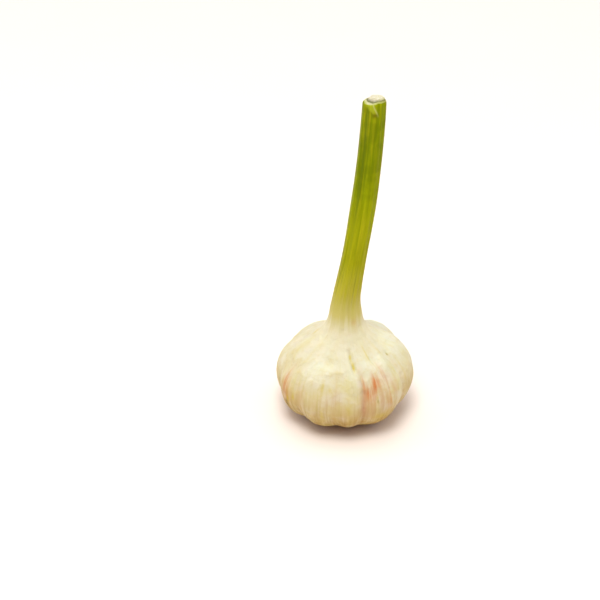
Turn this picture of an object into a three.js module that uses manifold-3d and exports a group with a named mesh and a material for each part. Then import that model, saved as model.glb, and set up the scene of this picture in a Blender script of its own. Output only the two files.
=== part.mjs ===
// A bulb of fresh garlic with its roots trimmed off and its green stem cut at about 10 cm.
// It stands by itself on its root plate and on the lowest of its cloves, under the skins that wrap them.
// Millimetres, +Z up. The origin is the centre of the root plate's cut face, at the level the bulb stands on.
// Azimuths are in degrees from the front (-Y), positive towards +X.

import * as THREE from "three";
import { mergeVertices } from "three/addons/utils/BufferGeometryUtils.js";
import Module from "manifold-3d";

const wasm = await Module();
wasm.setup();

// Driving dimensions
const BULB_BODY_HEIGHT = 34; // from the standing level to the clove tips, under the neck
const NECK_TOP = 54; // where the bulb's skins end and the stem is seen alone
const TOTAL_HEIGHT = 138.6; // to the highest point of the stem's cut end
const FIT_GAP = 0.3; // clearance between one piece and the next

// Outline of the wrapped bulb in the hollows between its cloves, as [radius, height].
const BULB_OUTLINE = [
  [11.7, 1.8], // lip round the root plate
  [13.8, 1.3],
  [16.8, 2.9],
  [20.0, 5.4],
  [23.0, 9.0],
  [24.9, 13.4],
  [25.4, 18.0], // belly
  [23.8, 23.6],
  [20.1, 28.5],
  [15.7, 31.9],
  [11.4, BULB_BODY_HEIGHT + 0.8], // shoulder, where the skins draw in
  [8.1, 37.9],
  [6.1, 42.4],
  [5.45, 48],
  [5.3, NECK_TOP],
];

// The cloves under the skin: azimuth of the middle, half-width in degrees, how far each stands out of the
// hollows in mm, and how far up the outline its tip lies, as a share of the outline's length.
const CLOVES = [
  { azimuth: 3.5, halfWidth: 12.5, bulge: 1.3, tip: 0.64 },
  { azimuth: 39, halfWidth: 23, bulge: 2.0, tip: 0.66 },
  { azimuth: 90, halfWidth: 28, bulge: 2.2, tip: 0.7 },
  { azimuth: 136.5, halfWidth: 18.5, bulge: 2.1, tip: 0.68 },
  { azimuth: 175, halfWidth: 20, bulge: 1.9, tip: 0.7 },
  { azimuth: 217.5, halfWidth: 22.5, bulge: 1.5, tip: 0.6 },
  { azimuth: 262.5, halfWidth: 22.5, bulge: 1.9, tip: 0.54 },
  { azimuth: 298, halfWidth: 14.5, bulge: 2.6, tip: 0.5 },
  { azimuth: 330.5, halfWidth: 20.5, bulge: 2.0, tip: 0.63 },
];
const SKIN_TIGHTNESS = 3.2; // per mm: the higher, the deeper the skin sinks between two cloves
const CLOVE_FOOT = 0.35; // share of its bulge that a clove has at the root plate
const FOOT_END = 0.2; // share of the outline where the bulge is full
const TIP_FADE = [0.16, 0.05]; // a clove sinks away from this far below its tip to this far above it

// Pleats where the skins draw together into the neck.
const PLEATS = 13;
const PLEAT_DEPTH = 0.16;
const PLEAT_RISE = [0.6, 0.78]; // shares of the outline between which the pleats deepen
const PLEAT_FADE = [0.88, 1]; // and between which they run out
const RELIEF_END = 0.85; // share of the outline past which the cloves' relief dies away

// Root plate: the knife's flat cut, the shoulder the roots grow from and the recess that it sits in.
const PLATE_FACE_RADIUS = 8.8;
const PLATE_RADIUS = 10.2;
const PLATE_SHOULDER = 1.3;
const PLATE_THICKNESS = 3.4;
const PLATE_BEVEL = 0.7; // of its upper edge
const RECESS_RADIUS = 11.5;

// Trimmed root stubs, in rings round the plate's shoulder.
const STUB_RINGS = [
  { count: 30, radius: 9.35, height: 0.75, tilt: 28 },
  { count: 36, radius: 10.1, height: 1.5, tilt: 58 },
];
const STUB_RADIUS = 0.42;
const STUB_LENGTH = 1.5;
const STUB_SINK = 0.7; // how much of its length lies inside the plate
const STUB_SIDES = 6;
const STUB_TAPER = 0.85; // end radius as a share of the foot's

// Stem: outline above the neck, as [radius, height].
const STEM_OUTLINE = [
  [5.3, NECK_TOP],
  [5.0, 61],
  [4.7, 73],
  [4.8, 92],
  [4.6, 109],
  [4.45, 126],
  [4.3, TOTAL_HEIGHT - 3.4],
];
const SOCKET_RADIUS = 4.5; // of the skins' inside, round the stem's foot
const SOCKET_DEPTH = 9;
const RIBS = 11; // the leaf veins that stand out along the stem
const RIB_HEIGHT = 0.13;
const GROOVE_AZIMUTH = -38; // hollow of the outermost leaf, on the left of the front
const GROOVE_HALF_WIDTH = 22;
const GROOVE_DEPTH = 0.45;
const RELIEF_START = 0.2; // share of the stem over which its ribs and groove deepen

// The knife's cut is highest at the front.
const CUT_SLOPE = 0.18;
const CUT_START = 0.8; // share of the stem from which its rings tilt towards the cut

// The cut end: distance in from the stem's edge, and depth below the highest point.
const CUT_END = [
  [0.12, 2.6],
  [0.4, 2.0], // rounded edge of the outermost leaf
  [0.9, 1.8],
  [1.25, 2.3], // gap between the leaf and the flower stalk
  [1.5, 1.1],
  [1.9, 0.5], // edge of the flower stalk's end
];
const STALK_CROWN = 0.4; // depth of that end's middle below the highest point
const STALK_INSET = 1.5; // of the flower stalk from the stem's edge
const STALK_SHIFT = 0.8; // of the stalk towards +X, where the leaf round it is thinner

// The stem's lean towards +X: slope where it leaves the bulb and near its cut end.
const LEAN_START = 48;
const LEAN_FOOT = 0.2;
const LEAN_TOP = 0.02;
const LEAN_EASE = 8; // mm of height over which the bend starts gently

const BULB_SEGMENTS = 96;
const BULB_RINGS = 32;
const STEM_SEGMENTS = 40;
const STEM_RINGS = 18;
const PLATE_SEGMENTS = 48;

const COLOURS = {
  bulb: 0xefe6c6,
  stem: 0xa4ab2c,
  rootPlate: 0xc2a558,
};

// Small helpers
const toRadians = THREE.MathUtils.degToRad;
const smoothstep = THREE.MathUtils.smoothstep;

// Difference of two azimuths, between -180 and 180 degrees.
function turnBetween(a, b) {
  return THREE.MathUtils.euclideanModulo(a - b + 180, 360) - 180;
}

function azimuthOf(x, y) {
  return THREE.MathUtils.radToDeg(Math.atan2(x, -y));
}

// Points along a smooth curve through an outline, evenly spaced.
function smoothOutline(outline, count) {
  const points = outline.map(([radius, height]) => new THREE.Vector2(radius, height));
  return new THREE.SplineCurve(points).getSpacedPoints(count);
}

// Sideways shift of the stem's centre line at a height.
function lean(height) {
  const rise = Math.max(0, height - LEAN_START);
  const whole = TOTAL_HEIGHT - LEAN_START;
  const easing = rise / (rise + LEAN_EASE);
  return easing * rise * (LEAN_FOOT + ((LEAN_TOP - LEAN_FOOT) * rise) / (2 * whole));
}

// Bulb

// How far the cloves push the skin out of its outline at an azimuth, a share t up the outline.
function cloveBulge(azimuth, t) {
  let sum = 1;
  for (const clove of CLOVES) {
    const across = turnBetween(azimuth, clove.azimuth) / clove.halfWidth;
    const foot = CLOVE_FOOT + (1 - CLOVE_FOOT) * smoothstep(t, 0, FOOT_END);
    const tip = 1 - smoothstep(t, clove.tip - TIP_FADE[0], clove.tip + TIP_FADE[1]);
    sum += Math.exp(SKIN_TIGHTNESS * clove.bulge * foot * tip * (1 - across * across));
  }
  return Math.log(sum) / SKIN_TIGHTNESS;
}

function pleat(azimuth, t) {
  const strength = smoothstep(t, ...PLEAT_RISE) * (1 - smoothstep(t, ...PLEAT_FADE));
  return PLEAT_DEPTH * strength * Math.sin(toRadians(PLEATS * azimuth));
}

function makeBulb() {
  const skin = smoothOutline(BULB_OUTLINE, BULB_RINGS);
  const roof = PLATE_THICKNESS + FIT_GAP;
  const profile = [
    new THREE.Vector2(0, roof),
    new THREE.Vector2(RECESS_RADIUS, roof),
    ...skin,
    new THREE.Vector2(SOCKET_RADIUS + FIT_GAP, NECK_TOP),
    new THREE.Vector2(SOCKET_RADIUS + FIT_GAP, NECK_TOP - SOCKET_DEPTH),
    new THREE.Vector2(0, NECK_TOP - SOCKET_DEPTH),
  ];
  const geometry = new THREE.LatheGeometry(profile, BULB_SEGMENTS);
  geometry.rotateX(Math.PI / 2);
  const position = geometry.getAttribute("position");
  for (let i = 0; i < position.count; i++) {
    const ring = i % profile.length;
    const t = (ring - 2) / BULB_RINGS;
    let radius = profile[ring].x;
    let height = profile[ring].y;
    const azimuth = azimuthOf(position.getX(i), position.getY(i));
    if (t >= 0 && t <= 1) {
      const before = skin[Math.max(0, ring - 3)];
      const after = skin[Math.min(BULB_RINGS, ring - 1)];
      const out = after.clone().sub(before).normalize();
      const push = cloveBulge(azimuth, t) * (1 - smoothstep(t, RELIEF_END, 1)) + pleat(azimuth, t);
      radius += out.y * push;
      height = Math.max(0, height - out.x * push);
    }
    placeOnAxis(position, i, azimuth, radius, height);
  }
  return solidMesh("bulb", geometry, COLOURS.bulb, 0.5);
}

// Puts a vertex at an azimuth, radius and height about the leaning centre line.
function placeOnAxis(position, i, azimuth, radius, height) {
  const turn = toRadians(azimuth);
  position.setXYZ(i, radius * Math.sin(turn) + lean(height), -radius * Math.cos(turn), height);
}

// Stem

function stemRelief(azimuth) {
  const rib = RIB_HEIGHT * Math.cos(toRadians(RIBS * azimuth));
  const across = turnBetween(azimuth, GROOVE_AZIMUTH) / GROOVE_HALF_WIDTH;
  return rib - GROOVE_DEPTH * Math.exp(-across * across);
}

function makeStem() {
  const skin = smoothOutline(STEM_OUTLINE, STEM_RINGS);
  const edge = skin[STEM_RINGS].x;
  const end = CUT_END.map(([inset, depth]) => new THREE.Vector2(edge - inset, TOTAL_HEIGHT - depth));
  const footTop = NECK_TOP + FIT_GAP;
  skin[0].y = footTop;
  const profile = [
    new THREE.Vector2(0, NECK_TOP - SOCKET_DEPTH + FIT_GAP),
    new THREE.Vector2(SOCKET_RADIUS, NECK_TOP - SOCKET_DEPTH + FIT_GAP),
    new THREE.Vector2(SOCKET_RADIUS, footTop),
    ...skin,
    ...end,
    new THREE.Vector2(0, TOTAL_HEIGHT - STALK_CROWN),
  ];
  const geometry = new THREE.LatheGeometry(profile, STEM_SEGMENTS);
  geometry.rotateX(Math.PI / 2);
  const position = geometry.getAttribute("position");
  for (let i = 0; i < position.count; i++) {
    const ring = i % profile.length;
    const azimuth = azimuthOf(position.getX(i), position.getY(i));
    const share = (ring - 3) / STEM_RINGS;
    let radius = profile[ring].x;
    let height = profile[ring].y;
    if (share >= 0) {
      radius += stemRelief(azimuth) * smoothstep(share, 0, RELIEF_START) * Math.min(1, radius / edge);
      const forward = radius * Math.cos(toRadians(azimuth));
      height += CUT_SLOPE * forward * smoothstep(share, CUT_START, 1);
    }
    placeOnAxis(position, i, azimuth, radius, height);
    if (share > 1) {
      const shift = STALK_SHIFT * smoothstep(edge - profile[ring].x, 0, STALK_INSET);
      position.setX(i, position.getX(i) + shift);
    }
  }
  return solidMesh("stem", geometry, COLOURS.stem, 0.45);
}

// Root plate

function makeRootStub(azimuth, ring) {
  const stub = new THREE.CylinderGeometry(STUB_RADIUS * STUB_TAPER, STUB_RADIUS, STUB_LENGTH, STUB_SIDES);
  stub.translate(0, STUB_LENGTH / 2 - STUB_SINK, 0);
  // From pointing up, each stub turns over to point down and outwards.
  stub.rotateX(Math.PI - toRadians(ring.tilt));
  stub.translate(0, -ring.radius, ring.height);
  stub.rotateZ(toRadians(azimuth));
  return stub;
}

function makeRootPlate() {
  const profile = [
    new THREE.Vector2(0, 0),
    new THREE.Vector2(PLATE_FACE_RADIUS, 0),
    new THREE.Vector2(PLATE_RADIUS, PLATE_SHOULDER),
    new THREE.Vector2(PLATE_RADIUS, PLATE_THICKNESS - PLATE_BEVEL),
    new THREE.Vector2(PLATE_RADIUS - PLATE_BEVEL, PLATE_THICKNESS),
    new THREE.Vector2(0, PLATE_THICKNESS),
  ];
  const disc = new THREE.LatheGeometry(profile, PLATE_SEGMENTS);
  disc.rotateX(Math.PI / 2);
  let plate = solidOf(disc);
  for (const ring of STUB_RINGS) {
    for (let i = 0; i < ring.count; i++) {
      plate = plate.add(solidOf(makeRootStub((360 * i) / ring.count, ring)));
    }
  }
  // The stubs are cut off level with the face that the bulb stands on.
  const below = new THREE.BoxGeometry(4 * PLATE_RADIUS, 4 * PLATE_RADIUS, 2 * PLATE_THICKNESS);
  below.translate(0, 0, -PLATE_THICKNESS);
  return meshOf("root_plate", plate.subtract(solidOf(below)), COLOURS.rootPlate, 0.85);
}

// Solids and meshes

// A closed geometry as one solid that can be joined and cut.
function solidOf(geometry) {
  const bare = geometry.clone();
  bare.deleteAttribute("normal");
  bare.deleteAttribute("uv");
  const merged = mergeVertices(bare, 1e-4);
  return new wasm.Manifold(
    new wasm.Mesh({
      numProp: 3,
      vertProperties: merged.getAttribute("position").array,
      triVerts: new Uint32Array(merged.index.array),
    }),
  );
}

function meshOf(name, solid, colour, roughness) {
  const { vertProperties, triVerts } = solid.getMesh();
  const geometry = new THREE.BufferGeometry();
  geometry.setAttribute("position", new THREE.BufferAttribute(vertProperties, 3));
  geometry.setIndex(new THREE.BufferAttribute(triVerts, 1));
  geometry.computeVertexNormals();
  const material = new THREE.MeshStandardMaterial({ color: colour, roughness, metalness: 0 });
  const mesh = new THREE.Mesh(geometry, material);
  mesh.name = name;
  return mesh;
}

function solidMesh(name, geometry, colour, roughness) {
  return meshOf(name, solidOf(geometry), colour, roughness);
}

const garlic = new THREE.Group();
garlic.name = "garlic_bulb";
garlic.add(makeBulb(), makeStem(), makeRootPlate());

export default garlic;
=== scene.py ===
"""The looks of a fresh garlic bulb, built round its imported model: the wrapped cloves, the green stem, the
root plate with its cut roots, and a pale stage with soft light.

Metres, +Z up, in the model's own frame. Azimuths are in degrees from the front (-Y), positive towards +X.
"""

import math

import bpy
import numpy as np
from mathutils import Matrix, Vector, noise


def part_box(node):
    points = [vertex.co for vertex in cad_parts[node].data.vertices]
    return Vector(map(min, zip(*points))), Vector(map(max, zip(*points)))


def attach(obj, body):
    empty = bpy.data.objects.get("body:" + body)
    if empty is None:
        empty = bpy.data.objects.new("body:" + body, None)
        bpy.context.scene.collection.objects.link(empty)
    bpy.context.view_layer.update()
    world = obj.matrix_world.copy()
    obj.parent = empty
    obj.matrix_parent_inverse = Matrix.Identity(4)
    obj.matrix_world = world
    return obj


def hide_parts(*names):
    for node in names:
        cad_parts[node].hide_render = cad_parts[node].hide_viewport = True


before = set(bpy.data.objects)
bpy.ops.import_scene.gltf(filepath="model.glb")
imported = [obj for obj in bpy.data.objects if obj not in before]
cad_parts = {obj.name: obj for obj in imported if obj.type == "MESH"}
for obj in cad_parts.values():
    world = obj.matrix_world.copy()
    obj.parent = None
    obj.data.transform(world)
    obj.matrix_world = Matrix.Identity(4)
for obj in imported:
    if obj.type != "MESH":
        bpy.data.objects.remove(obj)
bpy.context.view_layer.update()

bl_info = {
    "name": "Fresh Garlic Bulb",
    "version": (1, 0, 0),
    "blender": (4, 5, 0),
    "location": "3D View > Sidebar > Garlic",
    "description": "Builds a fresh garlic bulb with its green stem and cut roots",
    "category": "Add Mesh",
}

MM = 0.001
BODY = "root"

# Levels that the model gives, where the bulb's skins end on the stem and where the root plate ends in its
# recess, the height of the stem's highest point, and the gap between one piece and the next.
NECK_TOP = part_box("bulb")[1].z
PLATE_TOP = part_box("root_plate")[1].z
TOTAL_HEIGHT = 138.6 * MM
FIT_GAP = 0.3 * MM

# Outline of the skins in the hollows between the cloves, from the lip round the root plate up to the neck's
# top, and on up the stem, as (radius, height) in millimetres, and how many points a curve has from one to the
# next.
NECK_OUTLINE_TOP = (5.3, NECK_TOP / MM)
BULB_OUTLINE = [
    (11.7, 1.8),
    (13.8, 1.3),
    (16.8, 2.9),
    (20.0, 5.4),
    (23.0, 9.0),
    (24.9, 13.4),
    (25.4, 18.0),
    (23.8, 23.6),
    (20.1, 28.5),
    (15.7, 31.9),
    (11.4, 34.8),
    (8.1, 37.9),
    (6.1, 42.4),
    (5.45, 48.0),
    NECK_OUTLINE_TOP,
]
STEM_OUTLINE = [
    NECK_OUTLINE_TOP,
    (5.0, 61.0),
    (4.7, 73.0),
    (4.8, 92.0),
    (4.6, 109.0),
    (4.45, 126.0),
    (4.3, 135.2),
]
CURVE_STEPS = 64

# The stem's lean towards +X: the height at which it starts, its slopes there and at the top, and the height
# over which it sets in.
LEAN_START = 48 * MM
LEAN_FOOT = 0.2
LEAN_TOP = 0.02
LEAN_EASE = 8 * MM

# The cloves: azimuth of the middle, half-width in degrees, bulge in millimetres, and the tip's share of the
# outline.
CLOVES = [
    (3.5, 12.5, 1.3, 0.64),
    (39.0, 23.0, 2.0, 0.66),
    (90.0, 28.0, 2.2, 0.70),
    (136.5, 18.5, 2.1, 0.68),
    (175.0, 20.0, 1.9, 0.70),
    (217.5, 22.5, 1.5, 0.60),
    (262.5, 22.5, 1.9, 0.54),
    (298.0, 14.5, 2.6, 0.50),
    (330.5, 20.5, 2.0, 0.63),
]

# What is left of a clove's bulge at the lip, the share of the outline where it is whole, and how far before
# and after its tip it fades out.
CLOVE_FOOT = 0.35
FOOT_END = 0.2
TIP_FADE = (0.16, 0.05)

# Shares of the bulb's outline between which each kind of relief sets in or ends.
FADES = {
    "relief_end": (0.85, 1),
    "body_end": (0.7, 0.9),
    "pucker_start": (0.02, 0.12),
    "pucker_end": (0.9, 1),
    "uneven_start": (0.05, 0.3),
    "pleat_start": (0.6, 0.78),
    "pleat_end": (0.88, 1),
    "vein_start": (0.72, 0.97),
    "hollow_start": (0.05, 0.2),
}
PLEATS = 13

# Ribs round the stem, and the finer veins on them: how many to a rib, their share of its height, their turn.
RIBS = 11
VEINS_PER_RIB = 4
VEIN_SHARE = 0.3
VEIN_TURN = 1.1
RIB_HEIGHT = 0.09 * MM

# The groove along the stem's front left, with its half-width in degrees, and the slope of the cut end.
GROOVE_AZIMUTH = -38
GROOVE_WIDTH = 22
GROOVE_DEPTH = 0.45 * MM
CUT_SLOPE = 0.18

# The cut roots, the neck's socket that the stem's foot sits in, and the recess round the root plate.
ROOT_COUNT = 210
ROOT_RADIUS = 0.34 * MM
ROOT_LENGTH = 1.5 * MM
SOCKET_RADIUS = 4.5 * MM
SOCKET_DEPTH = 9 * MM
RECESS_RADIUS = 11.5 * MM
GRAIN_RADIUS = 25 * MM

# How fine the meshes are, and the angle from which an edge is sharp.
BULB_RINGS = 236
BULB_SEGMENTS = 360
STEM_RINGS = 170
STEM_SEGMENTS = 176
PLATE_SEGMENTS = 144
TABLE_SEGMENTS = 96
SHARP_ANGLE = math.radians(50)

# Small dents in the skin, or bumps where the depth is negative: azimuth, height, half-width, half-length and
# depth, all but the azimuth in millimetres.
DENTS = [
    (6.6, 33.4, 0.8, 1.6, 0.8),
    (9.4, 30.9, 0.9, 1.7, 1.15),
    (-22.5, 31.2, 3.0, 1.5, 0.7),
    (-20.0, 28.9, 1.5, 1.2, -0.5),
    (-12.0, 26.8, 3.0, 2.2, 0.3),
    (-1.5, 26.0, 1.8, 2.6, 0.5),
    (3.0, 31.0, 1.6, 1.8, -0.4),
    (37.0, 31.6, 1.4, 1.4, 0.5),
    (48.0, 29.0, 1.6, 1.8, -0.4),
    (-52.0, 30.5, 1.6, 1.6, 0.5),
    (-12.0, 28.5, 2.6, 3.0, 0.45),
    (-30.0, 25.5, 3.2, 2.4, -0.4),
    (-37.0, 30.0, 2.2, 2.4, -0.3),
    (25.0, 30.5, 2.0, 2.0, -0.3),
    (94.0, 29.8, 1.6, 2.6, 0.9),
    (-103.0, 30.8, 2.0, 2.6, 0.9),
    (64.2, 30.5, 0.5, 0.7, 0.3),
    (-15.0, 24.0, 1.6, 1.2, 0.25),
    (27.6, 19.8, 0.5, 1.6, 0.25),
    (150.0, 31.0, 1.0, 2.2, 0.6),
    (200.0, 30.5, 1.6, 1.6, 0.4),
    (232.0, 24.0, 1.8, 1.2, 0.4),
]

# Folds that stand out of the skin, or creases where the height is negative: (azimuth, height) points from the
# top down, half-width and height in millimetres.
FOLDS = [
    (((10.0, 30.7), (15.0, 28.0), (16.0, 23.0), (15.0, 19.0), (15.5, 14.0), (16.5, 8.0)), 0.8, -0.5),
    (((31.5, 33.5), (33.5, 30.6), (33.9, 27.5), (36.5, 23.6), (39.3, 19.2), (42.2, 14.3)), 0.5, 0.3),
    (((34.5, 31.5), (37.0, 27.5), (39.8, 23.4), (42.0, 19.0)), 0.6, -0.2),
    (((16.9, 28.6), (17.4, 26.2), (17.8, 24.0), (18.6, 21.0)), 0.35, 0.28),
    (((24.2, 27.8), (21.0, 26.5), (18.8, 24.8), (17.8, 23.0)), 0.35, 0.25),
    (((42.2, 27.0), (46.6, 23.7), (48.5, 19.2)), 0.5, 0.18),
    (((-8.0, 31.0), (-9.0, 24.0), (-9.0, 13.0)), 2.4, 0.65),
    (((-50.0, 28.0), (-49.0, 20.0), (-48.0, 12.0)), 2.0, 0.35),
    (((-49.0, 31.0), (-58.0, 27.5), (-61.0, 23.0)), 0.5, 0.15),
    (((60.0, 29.0), (61.5, 22.0), (61.0, 10.0)), 0.9, -0.3),
    (((117.0, 30.0), (118.5, 20.0), (118.0, 8.0)), 0.9, -0.35),
    (((196.0, 30.0), (195.0, 20.0), (196.0, 8.0)), 0.9, -0.35),
    (((168.0, 33.0), (172.0, 26.0), (170.0, 18.0)), 0.5, 0.25),
    (((245.0, 32.0), (240.0, 26.0), (238.0, 16.0)), 0.5, 0.2),
]

# Tints in the skin: azimuth, height, half-width in degrees, half-length in millimetres, and strength.
TINTS = {
    "blush": [
        (29.4, 25.8, 3.0, 2.3, 1.0),
        (26.0, 24.2, 4.5, 2.4, 0.6),
        (21.0, 22.6, 3.4, 2.4, 0.8),
        (23.5, 20.0, 5.5, 3.2, 0.45),
        (48.4, 21.8, 3.2, 2.4, 0.65),
        (38.5, 27.0, 4.5, 3.0, 0.4),
        (39.2, 18.2, 3.0, 3.4, 0.6),
        (17.0, 26.0, 1.2, 2.0, 0.5),
        (-62.2, 21.0, 4.0, 4.0, 0.6),
        (-58.5, 16.5, 5.0, 3.6, 0.5),
        (28.4, 44.1, 9.0, 1.5, 0.35),
        (147.0, 20.0, 4.0, 5.0, 0.7),
        (206.0, 22.0, 4.0, 4.0, 0.6),
        (245.0, 16.0, 5.0, 5.0, 0.4),
    ],
    "mauve": [
        (15.0, 17.0, 2.6, 7.5, 1.0),
        (22.0, 14.0, 5.0, 4.0, 0.5),
        (17.5, 23.5, 1.4, 3.5, 0.6),
        (32.6, 19.5, 3.6, 4.4, 0.6),
        (38.0, 21.5, 2.0, 4.5, 0.5),
        (43.5, 24.5, 4.5, 2.2, 0.4),
        (-9.0, 22.0, 5.0, 4.0, 0.25),
        (-15.0, 19.0, 5.0, 3.0, 0.3),
        (-42.0, 19.0, 5.0, 4.0, 0.35),
        (-61.0, 18.0, 3.0, 4.0, 0.35),
        (140.0, 16.0, 3.0, 6.0, 0.6),
        (197.0, 16.0, 2.0, 7.0, 0.6),
        (172.0, 17.0, 6.0, 4.0, 0.3),
    ],
    "green": [
        (6.6, 33.0, 1.8, 1.2, 0.8),
        (9.2, 30.6, 1.9, 1.3, 1.0),
        (33.0, 33.3, 1.5, 2.0, 0.45),
        (-22.5, 31.2, 4.5, 1.3, 0.2),
        (-12.0, 27.4, 4.5, 1.6, 0.2),
        (-14.8, 24.0, 2.5, 1.0, 0.3),
        (-1.5, 27.0, 2.5, 3.0, 0.2),
        (64.2, 30.5, 1.0, 0.6, 0.6),
        (-97.0, 35.0, 4.0, 1.2, 0.5),
        (2.0, 19.0, 2.2, 5.5, 0.4),
        (-21.5, 24.5, 1.3, 2.4, 0.5),
        (-50.9, 16.5, 1.2, 1.6, 0.7),
        (-57.2, 15.0, 1.2, 2.6, 0.8),
        (27.6, 19.8, 1.0, 1.4, 0.6),
        (68.0, 26.5, 1.2, 3.5, 0.4),
        (30.0, 12.0, 9.0, 1.8, 0.4),
        (-20.6, 14.5, 1.2, 3.5, 0.5),
        (185.0, 31.5, 2.0, 2.2, 0.7),
        (228.0, 28.0, 1.4, 4.0, 0.5),
        (120.0, 26.0, 1.2, 4.0, 0.4),
    ],
    "specks_and_shade": [
        (-59.4, 12.3, 1.6, 1.4, 1.0),
        (-58.6, 9.0, 2.2, 1.5, 0.7),
        (64.2, 30.5, 0.6, 0.4, 0.8),
        (27.7, 19.2, 0.6, 0.9, 0.6),
        (222.0, 12.0, 1.8, 1.2, 0.8),
    ],
}

# The table's radius, in metres, and the point that the lamps are turned to.
TABLE_RADIUS = 3.0
LAMP_AIM = (0, 0, 30 * MM)

# The camera: how far off it stands and how many degrees down it looks, the height on the bulb's axis that
# falls on the aim pixel, the picture's side in pixels, how many millimetres a pixel spans at that height, and
# the sensor's width in millimetres.
CAMERA_DISTANCE = 650 * MM
CAMERA_DOWN = 33.0
AIM_HEIGHT = 17 * MM
AIM_PIXEL = (344.5, 371.0)
PICTURE_SIDE = 600
MM_PER_PIXEL = 0.4
SENSOR_WIDTH = 36


def linear(hex_colour):
    """An sRGB hex colour as linear red, green, blue and alpha."""
    shares = [int(hex_colour[i:i + 2], 16) / 255 for i in (0, 2, 4)]
    return [c / 12.92 if c <= 0.04045 else ((c + 0.055) / 1.055) ** 2.4 for c in shares] + [1.0]


def smoothstep(value, low, high):
    share = np.clip((value - low) / (high - low), 0, 1)
    return share * share * (3 - 2 * share)


def turn_between(a, b):
    """Difference of two azimuths, from -180 to 180 degrees."""
    return (a - b + 180) % 360 - 180


# Settings

LENGTH = {"unit": "LENGTH", "subtype": "DISTANCE", "precision": 5}
COLOUR = {"subtype": "COLOR", "size": 4, "min": 0, "max": 1}


class GarlicSizes(bpy.types.PropertyGroup):
    """Sizes of the garlic bulb that a user would change."""

    clove_relief: bpy.props.FloatProperty(
        name="Clove Relief", description="How far the cloves stand out, as a share of their real bulge",
        default=1.0, min=0, max=1.5, subtype="FACTOR")
    skin_tightness: bpy.props.FloatProperty(
        name="Skin Tightness", description="How deep the skin sinks between two cloves, per millimetre",
        default=3.2, min=1, max=8)
    shoulder_slack: bpy.props.FloatProperty(
        name="Shoulder Slack", description="How far the skin bridges the hollows above the foot",
        default=0.36, min=0, max=0.8, subtype="FACTOR")
    fold_depth: bpy.props.FloatProperty(
        name="Fold Depth", description="Depth of the soft folds that run along the skin",
        default=0.12 * MM, **LENGTH)
    unevenness: bpy.props.FloatProperty(
        name="Unevenness", description="How far the bulb departs from its even outline",
        default=0.35 * MM, **LENGTH)
    pleat_depth: bpy.props.FloatProperty(
        name="Pleat Depth", description="Depth of the pleats under the neck",
        default=0.08 * MM, **LENGTH)
    rib_height: bpy.props.FloatProperty(
        name="Rib Height", description="Height of the leaf veins that stand out along the stem",
        default=RIB_HEIGHT, **LENGTH)
    groove_depth: bpy.props.FloatProperty(
        name="Groove Depth", description="Depth of the hollow along the stem's front left",
        default=GROOVE_DEPTH, **LENGTH)
    root_count: bpy.props.IntProperty(
        name="Cut Roots", description="Number of cut roots round the root plate", default=ROOT_COUNT, min=0)
    root_radius: bpy.props.FloatProperty(
        name="Root Radius", description="Radius of a cut root",
        default=ROOT_RADIUS, **LENGTH)
    root_length: bpy.props.FloatProperty(
        name="Root Length", description="Length of a cut root, with the part that is sunk in the plate",
        default=ROOT_LENGTH, **LENGTH)


class GarlicColours(bpy.types.PropertyGroup):
    """Colours of the garlic bulb that a user would change."""

    cream: bpy.props.FloatVectorProperty(
        name="Cream", description="Skin round the cloves", default=linear("d9dac2"), **COLOUR)
    straw: bpy.props.FloatVectorProperty(
        name="Straw", description="Yellowish streaks in the skin", default=linear("d2cb86"), **COLOUR)
    blush: bpy.props.FloatVectorProperty(
        name="Blush", description="Reddish streaks in the skin", default=linear("cb8552"), **COLOUR)
    leaf_green: bpy.props.FloatVectorProperty(
        name="Leaf Green", description="The stem", default=linear("a0ae00"), **COLOUR)
    # Painted shade along the stem's groove.
    groove_shade_green: bpy.props.FloatVectorProperty(
        name="Dark Green", description="Stripe along the stem's hollow", default=linear("4e6600"), **COLOUR)
    pith: bpy.props.FloatVectorProperty(
        name="Pith", description="The stem's cut end", default=linear("d3cfaa"), **COLOUR)
    cork: bpy.props.FloatVectorProperty(
        name="Cork", description="The root plate", default=linear("bd9c5b"), **COLOUR)


# Mesh helpers


def plant_outline():
    """A smooth curve up the bulb and the stem, and how far along it each point and the neck's top are."""
    knots = np.array(BULB_OUTLINE + STEM_OUTLINE[1:]) * MM
    last = len(knots) - 1
    start, end = knots[:-1], knots[1:]
    pull_start = (end - knots[[0, *range(last - 1)]]) / 2
    pull_end = (knots[[*range(2, last + 1), last]] - start) / 2
    w = np.linspace(0, 1, CURVE_STEPS, endpoint=False)[:, None, None]
    curve = (
        start
        + pull_start * w
        + (3 * (end - start) - 2 * pull_start - pull_end) * w**2
        + (2 * (start - end) + pull_start + pull_end) * w**3
    )
    curve = np.vstack([curve.transpose(1, 0, 2).reshape(-1, 2), knots[-1:]])
    run = np.concatenate([[0], np.cumsum(np.hypot(*np.diff(curve, axis=0).T))])
    return curve, run, run[CURVE_STEPS * (len(BULB_OUTLINE) - 1)]


def even_rings(curve, run, first, last, count):
    """Radii, heights and distances of rings spaced evenly along a stretch of an outline."""
    at = np.linspace(first, last, count)
    return np.interp(at, run, curve[:, 0]), np.interp(at, run, curve[:, 1]), at


def ring_azimuths(segments):
    return np.arange(segments) * 360 / segments


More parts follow.
